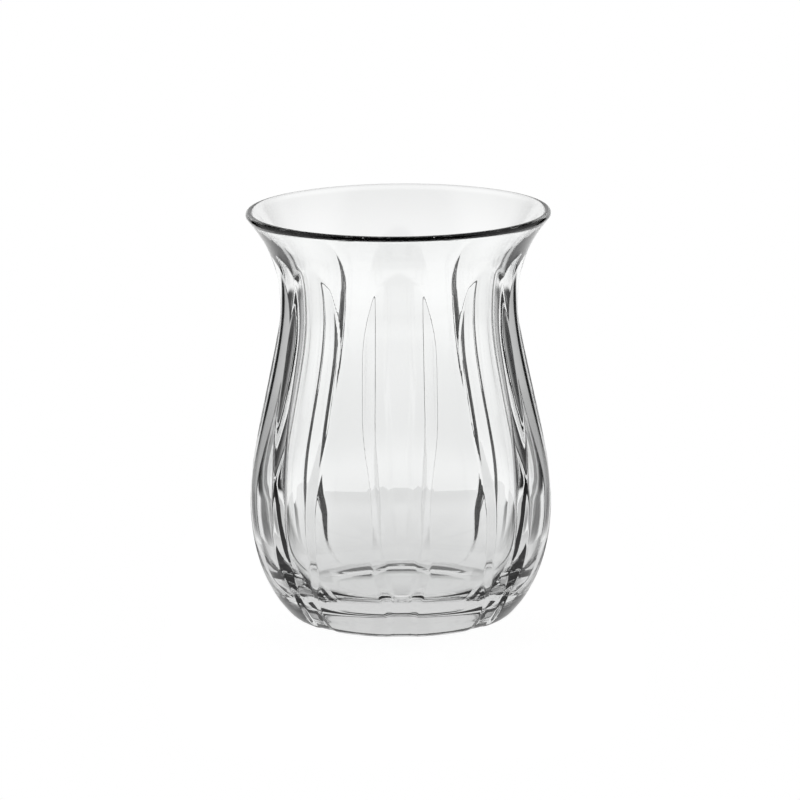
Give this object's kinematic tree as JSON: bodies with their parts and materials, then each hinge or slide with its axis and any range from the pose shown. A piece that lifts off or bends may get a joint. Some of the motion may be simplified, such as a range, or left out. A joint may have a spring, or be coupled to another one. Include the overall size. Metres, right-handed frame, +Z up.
{
  "type": "chai glass",
  "caption": "Clear waisted tea glass with a flared rounded rim, a full fluted belly, a heavy base and a flat foot ring; holds a hot drink.",
  "frame": {"origin": "centre of the foot ring, on the plane that the glass stands on", "axes": "+Z up along the axis of the glass; one flute faces -Y, the side seen in the picture"},
  "size_m": [0.064, 0.064, 0.087],
  "materials": {
    "glass": "clear, fire-polished, smooth inside"
  },
  "bodies": {
    "root": {"glass_body": "glass"}
  },
  "joints": []
}
